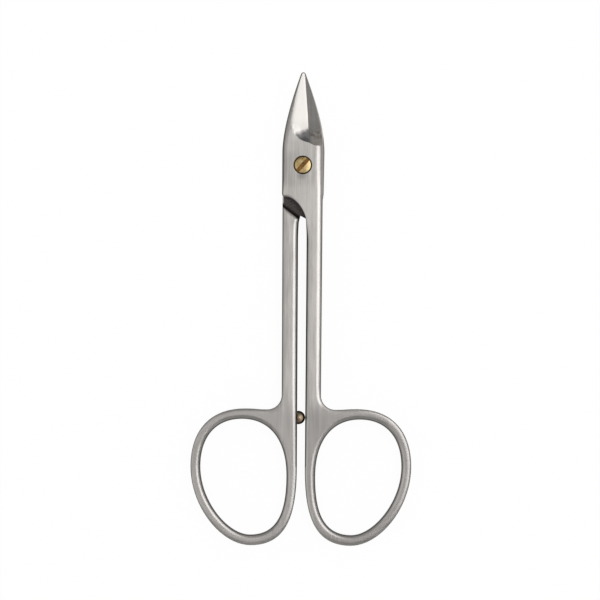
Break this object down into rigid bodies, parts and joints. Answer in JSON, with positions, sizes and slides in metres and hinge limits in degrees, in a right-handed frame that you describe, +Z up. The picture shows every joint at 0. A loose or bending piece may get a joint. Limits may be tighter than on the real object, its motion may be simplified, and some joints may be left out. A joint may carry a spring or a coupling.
{
  "type": "toenail scissors",
  "caption": "Toenail scissors with short tapered blades, a lapped joint on a slotted brass screw, long slim shanks, oval finger rings and a brass stop between the shanks.",
  "frame": {"origin": "middle of the bounding box, on the plane of the lowest face: the back of the joint", "axes": "+Y along the scissors towards the tips, +Z up through the thickness, +X to the side of the front half's finger ring"},
  "size_m": [0.049, 0.105, 0.0043],
  "materials": {
    "satin_steel": "satin, brushed along the length",
    "brass": "machined, lightly dulled"
  },
  "bodies": {
    "back": {"back_half": "satin_steel", "pivot_screw": "brass", "stop_rivet": "brass"},
    "front": {"front_half": "satin_steel"}
  },
  "joints": [
    {"name": "pivot", "type": "hinge", "parent": "back", "child": "front", "pos_m": [0, 0.03188, 0.0021], "axis": [0, 0, 1], "range_deg": [0, 120]}
  ]
}
